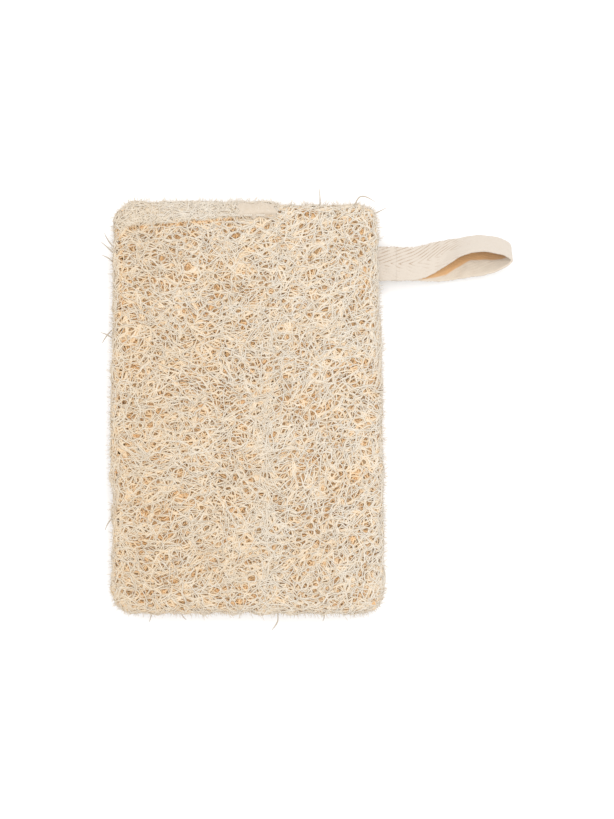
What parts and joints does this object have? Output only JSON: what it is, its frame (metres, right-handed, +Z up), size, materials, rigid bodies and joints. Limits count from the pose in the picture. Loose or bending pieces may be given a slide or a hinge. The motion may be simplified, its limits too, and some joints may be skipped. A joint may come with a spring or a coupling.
{
  "type": "luffa scrubbing pad",
  "caption": "Flat rectangular pad of natural luffa for scrubbing the back and body, sewn from panels over a luffa core, with a folded cotton tape hanging loop on one side.",
  "frame": {"origin": "centre of the pad's resting face", "axes": "+X across the pad towards the hanging loop, +Y along the pad towards the hemmed end, +Z up through the thickness, out of the front face"},
  "size_m": [0.1502, 0.1526, 0.021],
  "materials": {
    "luffa": "dry matte plant fibre",
    "thread": "matte cotton thread",
    "cotton_tape": "matte unbleached herringbone cotton"
  },
  "bodies": {
    "pad": {"front_luffa_panel": "luffa", "back_luffa_panel": "luffa", "luffa_core": "luffa", "closing_hem": "luffa", "hem_stitches": "thread", "seam_thread": "thread", "tape_bartacks": "thread", "tape_end_upper": "cotton_tape", "tape_end_lower": "cotton_tape"},
    "tape_neck": {"loop_neck": "cotton_tape"},
    "tape_loop": {"hanging_loop": "cotton_tape"}
  },
  "joints": [
    {"name": "loop_swing", "type": "hinge", "parent": "pad", "child": "tape_neck", "pos_m": [0.05001, 0.0544, 0.01], "axis": [0, -1, 0], "range_deg": [-90, 90]},
    {"name": "loop_twist", "type": "hinge", "parent": "tape_neck", "child": "tape_loop", "pos_m": [0.06101, 0.0544, 0.01], "axis": [1, 0, 0], "range_deg": [-60, 60]}
  ]
}
